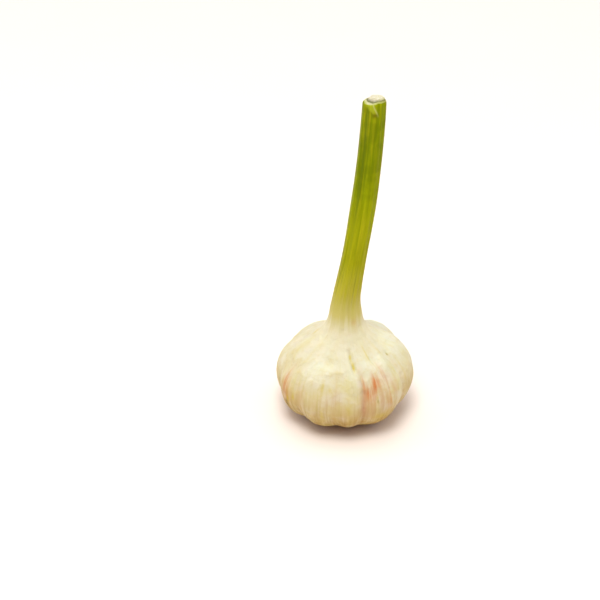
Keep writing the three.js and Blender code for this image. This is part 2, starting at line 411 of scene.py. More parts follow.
def wrapped_mesh(name, rings, foot, crown):
    """A closed mesh from rings of points, lowest profile point first, with a pole at each end.

    rings is an array of ring, segment and coordinate. Its points go round anticlockwise as seen from above.
    """
    ring_count, segments, _ = rings.shape
    verts = np.vstack([rings.reshape(-1, 3), [foot], [crown]])
    index = np.arange(ring_count * segments).reshape(ring_count, segments)
    after = np.roll(index, -1, axis=1)
    quads = np.stack([index[:-1], after[:-1], after[1:], index[1:]], axis=-1).reshape(-1, 4)
    foot_index = len(verts) - 2
    faces = quads.tolist()
    faces += [(foot_index, b, a) for a, b in zip(index[0].tolist(), after[0].tolist())]
    faces += [(a, b, foot_index + 1) for a, b in zip(index[-1].tolist(), after[-1].tolist())]
    mesh = bpy.data.meshes.new(name)
    mesh.from_pydata(verts.tolist(), [], faces)
    return mesh


def store(mesh, name, values):
    """Keeps one number or one vector for each vertex, in an attribute that a material reads.

    The mesh may have two pole vertices more than there are values, and they get zeros.
    """
    values = np.asarray(values, dtype=np.float32)
    kind, field, width = ("FLOAT_VECTOR", "vector", 3) if values.ndim == 2 else ("FLOAT", "value", 1)
    filled = np.zeros(len(mesh.vertices) * width, dtype=np.float32)
    filled[:values.size] = values.ravel()
    mesh.attributes.new(name, kind, "POINT").data.foreach_set(field, filled)


def finish_piece(piece, node=None):
    """Smooth shading with sharp rims, then the piece's body and the node that it stands for."""
    piece.data.shade_smooth()
    piece.data.set_sharp_from_angle(angle=SHARP_ANGLE)
    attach(piece, BODY)
    if node:
        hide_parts(node)


def link_piece(name, mesh):
    piece = bpy.data.objects.new(name, mesh)
    bpy.context.scene.collection.objects.link(piece)
    return piece


def apply_tree(piece, tree, values):
    """Runs a Geometry Nodes tree on a piece, with its named inputs set, and keeps the plain mesh it makes."""
    modifier = piece.modifiers.new(tree.name, "NODES")
    modifier.node_group = tree
    for item in tree.interface.items_tree:
        if item.item_type == "SOCKET" and item.in_out == "INPUT" and item.name in values:
            modifier[item.identifier] = values[item.name]
    depsgraph = bpy.context.evaluated_depsgraph_get()
    mesh = bpy.data.meshes.new_from_object(
        piece.evaluated_get(depsgraph), preserve_all_data_layers=True, depsgraph=depsgraph)
    piece.modifiers.clear()
    old = piece.data
    mesh.name = old.name
    piece.data = mesh
    bpy.data.meshes.remove(old)


# Node helpers


def add(tree, kind, inputs=None, **settings):
    """Adds a node with its settings, and fills or links its inputs, which go by name or by number.

    An input takes a value, a socket, or a node, which gives its first output.
    """
    node = tree.nodes.new(kind)
    for name, value in settings.items():
        setattr(node, name, value)
    for key, value in (inputs or {}).items():
        if isinstance(value, bpy.types.Node):
            value = value.outputs[0]
        if isinstance(value, bpy.types.NodeSocket):
            tree.links.new(value, node.inputs[key])
        else:
            node.inputs[key].default_value = value
    return node


def new_material(name):
    """A material, its node tree with nothing else in it, and the place on the piece."""
    material = bpy.data.materials.new(name)
    material.use_nodes = True
    tree = material.node_tree
    tree.nodes.clear()
    return material, tree, add(tree, "ShaderNodeTexCoord").outputs["Object"]


def new_tree(name, sizes):
    """An empty Geometry Nodes tree, and the sockets of its named sizes, which have these defaults."""
    tree = bpy.data.node_groups.new(name, "GeometryNodeTree")
    for side in ("OUTPUT", "INPUT"):
        tree.interface.new_socket("Geometry", in_out=side, socket_type="NodeSocketGeometry")
    for label, default in sizes.items():
        kind = "NodeSocketInt" if isinstance(default, int) else "NodeSocketFloat"
        tree.interface.new_socket(label, in_out="INPUT", socket_type=kind).default_value = default
    return tree, {socket.name: socket for socket in add(tree, "NodeGroupInput").outputs}


def mask_strength(tree, *parts, fade="SMOOTHSTEP"):
    """The product of a mask's parts.

    A part is a node, a socket, a number, or a pattern with the two values between which it is read and what
    the mask is at each of them.
    """
    product = None
    keys = ("Value", "From Min", "From Max", "To Min", "To Max")
    for part in parts:
        if isinstance(part, tuple):
            part = add(tree, "ShaderNodeMapRange", dict(zip(keys, part)), interpolation_type=fade)
        if product is not None:
            part = add(tree, "ShaderNodeMath", {0: product, 1: part}, operation="MULTIPLY")
        product = part
    return product


def layered(tree, base, layers, fade="LINEAR"):
    """Colours laid over a base colour, each through the mask that its parts make."""
    shade = base
    for parts, colour in layers:
        mask = mask_strength(tree, *parts, fade=fade)
        shade = add(tree, "ShaderNodeMix", {0: mask, 6: shade, 7: colour}, data_type="RGBA").outputs[2]
    return shade


def off_axis(tree, place):
    """How far a place is from the upright axis."""
    flat = add(tree, "ShaderNodeVectorMath", {0: place, 1: (1, 1, 0)}, operation="MULTIPLY")
    return add(tree, "ShaderNodeVectorMath", {0: flat}, operation="LENGTH").outputs["Value"]


# Materials


def sheath_material(colours):
    """Garlic leaf sheath: fleshy, waxy and satin, finely veined along its length.

    It is cream and slightly translucent round the cloves, yellow at the neck and opaque green up the stem.
    Its foot is darkened partly with painted shade, and painted shade also darkens the hollows between the
    cloves, the stem's groove and a spot under the torn leaf's fold, where a painted highlight lies on the
    flap.
    """
    name = "garlic_sheath"
    if name in bpy.data.materials:
        return bpy.data.materials[name]
    material, tree, place = new_material(name)
    grain = add(tree, "ShaderNodeAttribute", attribute_name="grain").outputs["Vector"]
    height = add(tree, "ShaderNodeSeparateXYZ", {0: place}).outputs["Z"]
    (blush, mauve, green), (hollow, groove_shade, specks_and_shade), (flap, flap_edge, _) = [
        add(tree, "ShaderNodeSeparateXYZ", {
            0: add(tree, "ShaderNodeAttribute", attribute_name=kept).outputs["Vector"]}).outputs
        for kept in ("tints", "marks", "flap")
    ]

    # Noise drawn out along the skin's grain: its width in millimetres, how many times as long it is, its
    # detail, and a shift that sets it apart. The first, the veins, is about twice as wide as real ones, which
    # are too fine to show.
    drawn_out = []
    for width, stretch, detail, shift in ((0.55, 26, 2, 0), (1.3, 12, 3, 0.9), (4.5, 5, 3, 0.4)):
        along = add(tree, "ShaderNodeMapping", {
            "Vector": grain, "Location": (shift, 0, shift), "Scale": (1, 1, 1 / stretch)})
        drawn_out.append(add(tree, "ShaderNodeTexNoise", {
            "Vector": along, "Scale": 1 / (width * MM), "Detail": detail, "Roughness": 0.55}))
    veins, streaks, bands = drawn_out

    # Round noise, 6 mm and 2.4 mm wide.
    clouds, crumple = [
        add(tree, "ShaderNodeTexNoise", {
            "Vector": place, "Scale": 1 / (width * MM), "Detail": 3, "Roughness": 0.5})
        for width in (6, 2.4)
    ]

    # Up the plant: tan at the foot, darkened to brown near the table partly with painted shade, cream round
    # the cloves, straw at the neck and green from there on. The level wanders by up to 1.3 mm.
    wander = mask_strength(tree, (bands, 0.3, 0.7, -1.3 * MM, 1.3 * MM))
    level = add(tree, "ShaderNodeMath", {0: height, 1: wander}, operation="ADD")
    ramp = add(tree, "ShaderNodeValToRGB", {
        0: add(tree, "ShaderNodeMapRange", {"Value": level, "From Max": TOTAL_HEIGHT})})
    # The stops up to 12 mm are partly the skin's own tan and partly painted shade under the bulb.
    stops = [
        (0, linear("6b4418")),
        (3, linear("825418")),
        (6, linear("a8863e")),
        (12, linear("cab278")),
        (21, linear("d7cd9f")),
        (31, colours.cream),
        (40, linear("e2dfbe")),
        (47, linear("cac274")),
        (57, linear("bab440")),
        (70, linear("a6aa10")),
        (95, colours.leaf_green),
        (118, linear("829400")),
        (TOTAL_HEIGHT / MM, linear("90a200")),
    ]
    while len(ramp.color_ramp.elements) < len(stops):
        ramp.color_ramp.elements.new(1)
    for element, (level_mm, colour) in zip(ramp.color_ramp.elements, stops):
        element.position = level_mm * MM / TOTAL_HEIGHT
        element.color = colour

    # Heights over which a part of the plant sets in or ends.
    on_foot = (height, 8 * MM, 24 * MM, 1, 0)
    on_body = (height, 29 * MM, 42 * MM, 1, 0)
    on_bulb = (height, 40 * MM, 50 * MM, 1, 0)
    on_stem = (height, 46 * MM, 62 * MM, 0, 1)
    on_top = (height, 86 * MM, 104 * MM, 0, 1)
    colour = layered(tree, ramp, [
        ([(bands, 0.44, 0.74, 0, 0.45), on_body], colours.straw),
        ([(clouds, 0.4, 0.72, 0, 0.6), on_body, (height, 4 * MM, 18 * MM, 0.35, 1)], linear("e2dfcc")),
        ([(streaks, 0.48, 0.74, 0, 0.32), on_body, (height, 20 * MM, 32 * MM, 1, 0.3)], linear("ccc468")),
        ([(crumple, 0.46, 0.7, 0, 0.4), on_body], linear("d2c78c")),
        ([(streaks, 0.44, 0.68, 0, 0.45), on_foot], linear("a98248")),
        ([(veins, 0.48, 0.7, 0, 0.4), on_foot], linear("dccfa0")),
        # Painted shade in the hollows between the cloves.
        ([hollow, 0.14], linear("c09c5c")),
        ([mauve, (streaks, 0.36, 0.6, 0.3, 0.95)], linear("c79f7c")),
        ([blush, (streaks, 0.36, 0.62, 0.3, 1)], colours.blush),
        ([green, (crumple, 0.3, 0.6, 0.45, 0.95)], linear("d0bd3c")),
        # Painted shade along the stem's groove.
        ([groove_shade, (streaks, 0.3, 0.7, 0.4, 0.95)], colours.groove_shade_green),
        ([(bands, 0.45, 0.7, 0, 0.5), on_stem], linear("bdbb1c")),
        ([(bands, 0.5, 0.3, 0, 0.45), on_stem], linear("6c7e00")),
        ([(clouds, 0.45, 0.65, 0, 0.3), on_top], linear("556c00")),
        ([(veins, 0.5, 0.64, 0, 0.45), on_stem], linear("767c00")),
        # Painted highlight on the folded flap's face and along its right edge.
        ([flap, (streaks, 0.35, 0.65, 0.4, 0.85)], linear("aab62a")),
        ([flap_edge, 0.8], linear("cdd276")),
        # Real specks on the bulb, and painted shade under the torn leaf's fold on the stem.
        ([specks_and_shade, (crumple, 0.38, 0.56, 0.3, 0.9)], linear("645a0c")),
    ], fade="SMOOTHSTEP")
    crumple_bump = add(tree, "ShaderNodeBump", {
        "Height": mask_strength(tree, crumple, on_bulb), "Strength": 0.9, "Distance": 0.8 * MM})
    vein_bump = add(tree, "ShaderNodeBump", {
        "Height": veins, "Strength": 0.5, "Distance": 0.12 * MM, "Normal": crumple_bump})
    streak_bump = add(tree, "ShaderNodeBump", {
        "Height": streaks, "Strength": 0.6, "Distance": 0.2 * MM, "Normal": vein_bump})
    shader = add(tree, "ShaderNodeBsdfPrincipled", {
        "Base Color": colour, "Roughness": mask_strength(tree, (veins, 0.3, 0.7, 0.36, 0.5)),
        "Subsurface Weight": mask_strength(tree, on_bulb, 0.2), "Subsurface Radius": (1.0, 0.7, 0.35),
        "Subsurface Scale": 2.2 * MM, "IOR": 1.45, "Specular IOR Level": 0.04, "Normal": streak_bump})
    add(tree, "ShaderNodeOutputMaterial", {"Surface": shader})
    return material


def pith_material(colours):
    """Cut leaf layers, fresh, pale, moist and grainy, in faint rings 0.75 mm apart round the middle, with
    painted shade between layers.
    """
    material, tree, place = new_material("cut_pith")
    reach = off_axis(tree, add(tree, "ShaderNodeVectorMath", {
        0: place, 1: (lean_at(TOTAL_HEIGHT), 0, TOTAL_HEIGHT)}, operation="SUBTRACT"))
    grit = add(tree, "ShaderNodeTexNoise", {
        "Vector": place, "Scale": 1 / (0.45 * MM), "Detail": 3, "Roughness": 0.7})
    wobble = add(tree, "ShaderNodeMath", {0: grit, 1: 0.5 * MM, 2: reach}, operation="MULTIPLY_ADD")
    turns = add(tree, "ShaderNodeMath", {0: wobble, 1: 2 * math.pi / (0.75 * MM)}, operation="MULTIPLY")
    ring = add(tree, "ShaderNodeMath", {0: turns}, operation="SINE")
    gap = add(tree, "ShaderNodeAttribute", attribute_name="gap").outputs["Fac"]
    colour = layered(tree, colours.pith, [
        ([(ring, 0.2, 1, 0, 0.55)], linear("b9b48c")),
        ([(grit, 0.46, 0.62, 0, 0.8)], linear("e2dfd2")),
        ([(reach, 2.8 * MM, 3.8 * MM, 0, 0.85)], linear("adb546")),
        # Painted shade in the gap between two leaf layers.
        ([gap], linear("5d6410")),
    ])
    bump = add(tree, "ShaderNodeBump", {"Height": grit, "Strength": 0.8, "Distance": 0.25 * MM})
    shader = add(tree, "ShaderNodeBsdfPrincipled", {
        "Base Color": colour, "Roughness": 0.55, "IOR": 1.4, "Normal": bump})
    add(tree, "ShaderNodeOutputMaterial", {"Surface": shader})
    return material


def cork_material(colours):
    """Root plate cork: dry, dull and fibrous, tan in the middle and browner at its rim."""
    material, tree, place = new_material("root_cork")
    reach = off_axis(tree, place)
    grit = add(tree, "ShaderNodeTexNoise", {
        "Vector": place, "Scale": 1 / (0.8 * MM), "Detail": 5, "Roughness": 0.7})
    patches = add(tree, "ShaderNodeTexNoise", {"Vector": place, "Scale": 1 / (4 * MM), "Detail": 3})
    colour = layered(tree, colours.cork, [
        ([(patches, 0.45, 0.65, 0, 0.6)], linear("cdb478")),
        ([(reach, 6 * MM, 10.5 * MM, 0, 0.7)], linear("8f6634")),
        ([(grit, 0.52, 0.68, 0, 0.7)], linear("7a5a30")),
    ])
    bump = add(tree, "ShaderNodeBump", {"Height": grit, "Strength": 1, "Distance": 0.5 * MM})
    shader = add(tree, "ShaderNodeBsdfPrincipled", {"Base Color": colour, "Roughness": 0.85, "Normal": bump})
    add(tree, "ShaderNodeOutputMaterial", {"Surface": shader})
    return material


def root_material():
    """Cut garlic roots: cream tubes with a darker core in the cut end."""
    material, tree, place = new_material("cut_root")
    reach = off_axis(tree, add(tree, "ShaderNodeAttribute", attribute_name="root_place").outputs["Vector"])
    stain = add(tree, "ShaderNodeTexNoise", {"Vector": place, "Scale": 1 / (2 * MM), "Detail": 2})
    colour = layered(tree, linear("dcc694"), [
        ([(stain, 0.45, 0.65, 0, 0.7)], linear("b08a4e")),
        ([(reach, 0.6, 0.45, 0, 0.85)], linear("5b4222")),
    ])
    shader = add(tree, "ShaderNodeBsdfPrincipled", {"Base Color": colour, "Roughness": 0.75})
    add(tree, "ShaderNodeOutputMaterial", {"Surface": shader})
    return material


def floor_material():
    """Matt white laminate, faintly mottled."""
    material, tree, place = new_material("white_table")
    mottle = add(tree, "ShaderNodeTexNoise", {"Vector": place, "Scale": 1 / (60 * MM), "Detail": 2})
    colour = layered(tree, linear("f6eee6"), [([mottle], linear("f5ebe3"))])
    shader = add(tree, "ShaderNodeBsdfPrincipled", {"Base Color": colour, "Roughness": 0.6})
    add(tree, "ShaderNodeOutputMaterial", {"Surface": shader})
    return material


# The skin's shape


def clove_bulge(azimuth, share, tightness):
    """How far the cloves push the skin out of its outline, in millimetres: a soft maximum of their domes."""
    total = 1
    for middle, half_width, bulge, tip in CLOVES:
        across = turn_between(azimuth, middle) / half_width
        foot = CLOVE_FOOT + (1 - CLOVE_FOOT) * smoothstep(share, 0, FOOT_END)
        end = 1 - smoothstep(share, tip - TIP_FADE[0], tip + TIP_FADE[1])
        total = total + np.exp(tightness * bulge * foot * end * (1 - across * across))
    return np.log(total) / tightness


def blurred(values, spread):
    """Each row of values, which goes once round the axis, blurred by a bell curve of a spread in degrees."""
    waves = np.fft.rfftfreq(values.shape[1]) * values.shape[1]
    bell = np.exp(-0.5 * (waves * math.radians(spread)) ** 2)
    return np.fft.irfft(np.fft.rfft(values, axis=1) * bell, values.shape[1], axis=1)


def dents(azimuth, height, radius):
    """Depth of the small dents, in millimetres."""
    depth = 0
    for middle, level, half_width, half_length, deep in DENTS:
        across = np.radians(turn_between(azimuth, middle)) * radius / (half_width * MM)
        along = (height - level * MM) / (half_length * MM)
        depth = depth + deep * np.exp(-across**2 - along**2)
    return depth


def folds(azimuth, height, radius):
    """Height of the folds less the depth of the creases, in millimetres.

    Each sets in over 2.5 mm at either end, from 1 mm past its last point.
    """
    rise = 0
    for path, half_width, high in FOLDS:
        turns, levels = np.array(path)[::-1].T
        middle = np.interp(height, levels * MM, turns)
        across = np.radians(turn_between(azimuth, middle)) * radius / (half_width * MM)
        ends = smoothstep(height, (levels[0] - 1) * MM, (levels[0] + 1.5) * MM)
        ends = ends * (1 - smoothstep(height, (levels[-1] - 1.5) * MM, (levels[-1] + 1) * MM))
        rise = rise + high * ends * np.exp(-across**2)
    return rise


def tint(name, azimuth, height):
    """Strength of a tint, from 0 to 1."""
    strength = 0
    for middle, level, half_width, half_length, most in TINTS[name]:
        across = turn_between(azimuth, middle) / half_width
        along = (height - level * MM) / (half_length * MM)
        strength = strength + most * np.exp(-across**2 - along**2)
    return np.clip(strength, 0, 1)


def noise_on(coordinates, scale, shift):
    """Smooth noise, from about -1 to 1, at an array of coordinates.

    The scale is the number of waves to the metre along each axis, and the shift sets one noise apart from
    another.
    """
    flat = coordinates.reshape(-1, 3) * np.array(scale) + shift
    values = np.array([noise.noise(Vector(p)) for p in flat.tolist()])
    return values.reshape(coordinates.shape[:-1])


def lean_at(height):
    """Sideways shift of the stem's centre line at a height."""
    rise = np.maximum(0, height - LEAN_START)
    span = 2 * (TOTAL_HEIGHT - LEAN_START)
    return rise / (rise + LEAN_EASE) * rise * (LEAN_FOOT + (LEAN_TOP - LEAN_FOOT) * rise / span)


def around_straight(azimuth, radius, height):
    """Points at an azimuth, radius and height about the upright axis."""
    turn = np.radians(azimuth)
    return np.stack(np.broadcast_arrays(radius * np.sin(turn), -radius * np.cos(turn), height), axis=-1)


def around(azimuth, radius, height):
    """Points at an azimuth, radius and height about the leaning centre line."""
    points = around_straight(azimuth, radius, height)
    points[..., 0] += lean_at(height)
    return points


def grain_coordinates(azimuth, run):
    """Coordinates round a cylinder as wide as the belly, so that veins draw together as the skin narrows."""
    return around_straight(azimuth, GRAIN_RADIUS, run)


def sheath_veins(azimuth, strength, rib_height):
    """Ribs and finer veins that run up the neck and the stem."""
    turn = np.radians(azimuth)
    ribs = np.cos(RIBS * turn) + VEIN_SHARE * np.cos(VEINS_PER_RIB * RIBS * turn + VEIN_TURN)
    return rib_height * strength * ribs


def build_bulb(sizes, colours):
    """The wrapped cloves with their neck, as one closed skin."""
    curve, run, neck_run = plant_outline()
    radii, heights, along = even_rings(curve, run, 0, neck_run, BULB_RINGS)
    azimuth = ring_azimuths(BULB_SEGMENTS)[None, :]
    radius, height, along = radii[:, None], heights[:, None], along[:, None]
    share = along / neck_run

    # The outline's outward direction at each ring, from the points 0.01 mm to either side of it.
    step = 0.01 * MM
    slope_r = np.interp(along + step, run, curve[:, 0]) - np.interp(along - step, run, curve[:, 0])
    slope_z = np.interp(along + step, run, curve[:, 1]) - np.interp(along - step, run, curve[:, 1])
    length = np.hypot(slope_r, slope_z)
    out_r, out_z = slope_z / length, -slope_r / length

    # The cloves, which the skin bridges more and more from 5 mm up to 20 mm, over about 11 degrees.
    bulge = clove_bulge(azimuth, share, sizes.skin_tightness) * sizes.clove_relief
    slack = sizes.shoulder_slack * smoothstep(height, 5 * MM, 20 * MM)
    bulge = bulge + slack * (blurred(bulge, 11) - bulge)

    # The skin's own relief: puckers along the grain, a quarter as deep on the neck, an uneven outline,
    # pleats, folds, dents and veins.
    fade = {name: smoothstep(share, low, high) for name, (low, high) in FADES.items()}
    body = 1 - fade["body_end"]
    grain = grain_coordinates(azimuth, along)
    place = around(azimuth, radius, height)
    puckers = noise_on(grain, (310, 310, 60), 3.1) + 0.5 * noise_on(grain, (700, 700, 90), 7.7)
    uneven = noise_on(place, (70, 70, 70), 11.3) + 0.65 * noise_on(place, (210, 210, 150), 4.6)
    pleat_strength = fade["pleat_start"] * (1 - fade["pleat_end"])
    pleats = pleat_strength * np.sin(np.radians(PLEATS * azimuth)) * sizes.pleat_depth
    local = folds(azimuth, height, radius) - dents(azimuth, height, radius)
    push = (
        (bulge * (1 - fade["relief_end"]) + local * body) * MM
        + puckers * sizes.fold_depth * (0.25 + 0.75 * body) * fade["pucker_start"] * (1 - fade["pucker_end"])
        + uneven * sizes.unevenness * body * fade["uneven_start"]
        + pleats
        + sheath_veins(azimuth, fade["vein_start"], sizes.rib_height)
    )
    skin = around(azimuth, radius + out_r * push, np.maximum(0, height + out_z * push))

    # Closed under the lip by the roof of the root plate's recess, and in the neck by the stem's socket.
    roof = PLATE_TOP + FIT_GAP
    wall = SOCKET_RADIUS + FIT_GAP
    socket_floor = NECK_TOP - SOCKET_DEPTH
    below = [around(azimuth[0], r, roof) for r in (3.0 * MM, 8.0 * MM, RECESS_RADIUS)]
    above = [around(azimuth[0], r, z) for r, z in (
        (wall, NECK_TOP), (wall, socket_floor), (2.0 * MM, socket_floor))]
    mesh = wrapped_mesh(
        "bulb_skin", np.concatenate([below, skin, above]),
        (0, 0, roof), (lean_at(socket_floor), 0, socket_floor))

    def padded_rows(values):
        """Values for the skin's points, with its first and last rows repeated for the rings that close it."""
        values = np.broadcast_to(values, (skin.shape[0], skin.shape[1], *values.shape[2:]))
        rows = [values[:1]] * len(below) + [values] + [values[-1:]] * len(above)
        return np.concatenate(rows).reshape(-1, *values.shape[2:])

    # It is a hollow where the cloves push the skin out by less than 1.1 mm, and wholly so below 0.4 mm. The
    # material paints shade into the hollows through this mask.
    hollow = smoothstep(1.1 - bulge, 0, 0.7) * body * fade["hollow_start"]
    store(mesh, "grain", padded_rows(grain))
    store(mesh, "tints", padded_rows(np.stack(
        [tint(name, azimuth, height) for name in ("blush", "mauve", "green")], axis=-1)))
    store(mesh, "marks", padded_rows(np.stack(
        [hollow, np.zeros_like(bulge), tint("specks_and_shade", azimuth, height)], axis=-1)))
    mesh.materials.append(sheath_material(colours))
    finish_piece(link_piece("bulb_skin", mesh), "bulb")


# The stem's shape


def stem_tree(sheath, pith):
    """Geometry Nodes that give a straight, smooth stem its ribs, its groove, its slanted cut and its lean."""
    tree, known = new_tree("garlic_stem", {
        "Ribs": RIBS, "Rib Height": RIB_HEIGHT, "Groove Azimuth": math.radians(GROOVE_AZIMUTH),
        "Groove Width": math.radians(GROOVE_WIDTH), "Groove Depth": GROOVE_DEPTH,
        "Edge Radius": STEM_OUTLINE[-1][0] * MM, "Cut Slope": CUT_SLOPE, "Total Height": TOTAL_HEIGHT,
        "Lean Start": LEAN_START, "Lean Foot": LEAN_FOOT, "Lean Top": LEAN_TOP, "Lean Ease": LEAN_EASE,
    })
    place = add(tree, "ShaderNodeSeparateXYZ", {0: add(tree, "GeometryNodeInputPosition")}).outputs
    share = add(tree, "GeometryNodeInputNamedAttribute", {"Name": "share"}, data_type="FLOAT")
    known.update(X=place["X"], Y=place["Y"], Z=place["Z"], share=share)
    for name, low, high in (("past neck", 0.0, 0.2), ("near cut", 0.8, 1.0)):
        known[name] = add(tree, "ShaderNodeMapRange", {
            "Value": share, "From Min": low, "From Max": high}, interpolation_type="SMOOTHSTEP")

    # Each sum has a name, an operation and what it works on: numbers, sizes or the sums before it.
    sums = [
        ("back", "MULTIPLY", "Y", -1),
        ("azimuth", "ARCTAN2", "X", "back"),
        ("depth squared", "MULTIPLY", "Y", "Y"),
        ("squares", "MULTIPLY_ADD", "X", "X", "depth squared"),
        ("radius", "SQRT", "squares"),
        # Ribs with finer veins on them
        ("rib turn", "MULTIPLY", "azimuth", "Ribs"),
        ("ribs", "COSINE", "rib turn"),
        ("vein count", "MULTIPLY", "Ribs", VEINS_PER_RIB),
        ("vein turn", "MULTIPLY_ADD", "azimuth", "vein count", VEIN_TURN),
        ("fine veins", "COSINE", "vein turn"),
        ("veins", "MULTIPLY_ADD", "fine veins", VEIN_SHARE, "ribs"),
        ("raised", "MULTIPLY", "veins", "Rib Height"),
        # Groove
        ("from groove", "SUBTRACT", "azimuth", "Groove Azimuth"),
        ("turn", "WRAP", "from groove", math.pi, -math.pi),
        ("across", "DIVIDE", "turn", "Groove Width"),
        ("across squared", "MULTIPLY", "across", "across"),
        ("fall", "MULTIPLY", "across squared", -1),
        ("bell", "EXPONENT", "fall"),
        ("hollow", "MULTIPLY", "bell", "Groove Depth"),
        ("groove", "MULTIPLY", "hollow", "past neck"),
        # Relief, less towards the middle of the cut end and none on the foot in its socket
        ("relief", "SUBTRACT", "raised", "groove"),
        ("reach", "DIVIDE", "radius", "Edge Radius"),
        ("whole", "MINIMUM", "reach", 1),
        ("shown", "GREATER_THAN", "share", -0.5),
        ("kept relief", "MULTIPLY", "relief", "whole"),
        ("wide", "MULTIPLY_ADD", "kept relief", "shown", "radius"),
        ("sine", "SINE", "azimuth"),
        ("x", "MULTIPLY", "wide", "sine"),
        ("cosine", "COSINE", "azimuth"),
        ("forward", "MULTIPLY", "wide", "cosine"),
        ("y", "MULTIPLY", "forward", -1),
        # Slanted cut
        ("cut", "MULTIPLY", "forward", "Cut Slope"),
        ("z", "MULTIPLY_ADD", "cut", "near cut", "Z"),
        # Lean
        ("over start", "SUBTRACT", "z", "Lean Start"),
        ("rise", "MAXIMUM", "over start", 0),
        ("eased rise", "ADD", "rise", "Lean Ease"),
        ("ease", "DIVIDE", "rise", "eased rise"),
        ("height left", "SUBTRACT", "Total Height", "Lean Start"),
        ("span", "MULTIPLY", "height left", 2),
        ("slope change", "SUBTRACT", "Lean Top", "Lean Foot"),
        ("changed", "MULTIPLY", "slope change", "rise"),
        ("change", "DIVIDE", "changed", "span"),
        ("slope", "ADD", "Lean Foot", "change"),
        ("run", "MULTIPLY", "ease", "rise"),
        ("lean", "MULTIPLY", "run", "slope"),
        ("leaning x", "ADD", "x", "lean"),
    ]
    for name, operation, *values in sums:
        inputs = {number: known.get(value, value) for number, value in enumerate(values)}
        known[name] = add(tree, "ShaderNodeMath", inputs, operation=operation)

    moved = add(tree, "ShaderNodeCombineXYZ", {0: known["leaning x"], 1: known["y"], 2: known["z"]})
    shaped = add(tree, "GeometryNodeSetPosition", {"Geometry": known["Geometry"], "Position": moved})
    real = add(tree, "GeometryNodeRealizeInstances", {0: shaped})
    green = add(tree, "GeometryNodeSetMaterial", {"Geometry": real, "Material": sheath})
    cut_end = add(tree, "GeometryNodeInputNamedAttribute", {"Name": "cut_end"}, data_type="FLOAT")
    on_cut = add(tree, "ShaderNodeMath", {0: cut_end, 1: 0.5}, operation="GREATER_THAN")
    ended = add(tree, "GeometryNodeSetMaterial", {"Geometry": green, "Selection": on_cut, "Material": pith})
    add(tree, "NodeGroupOutput", {0: ended})
    return tree


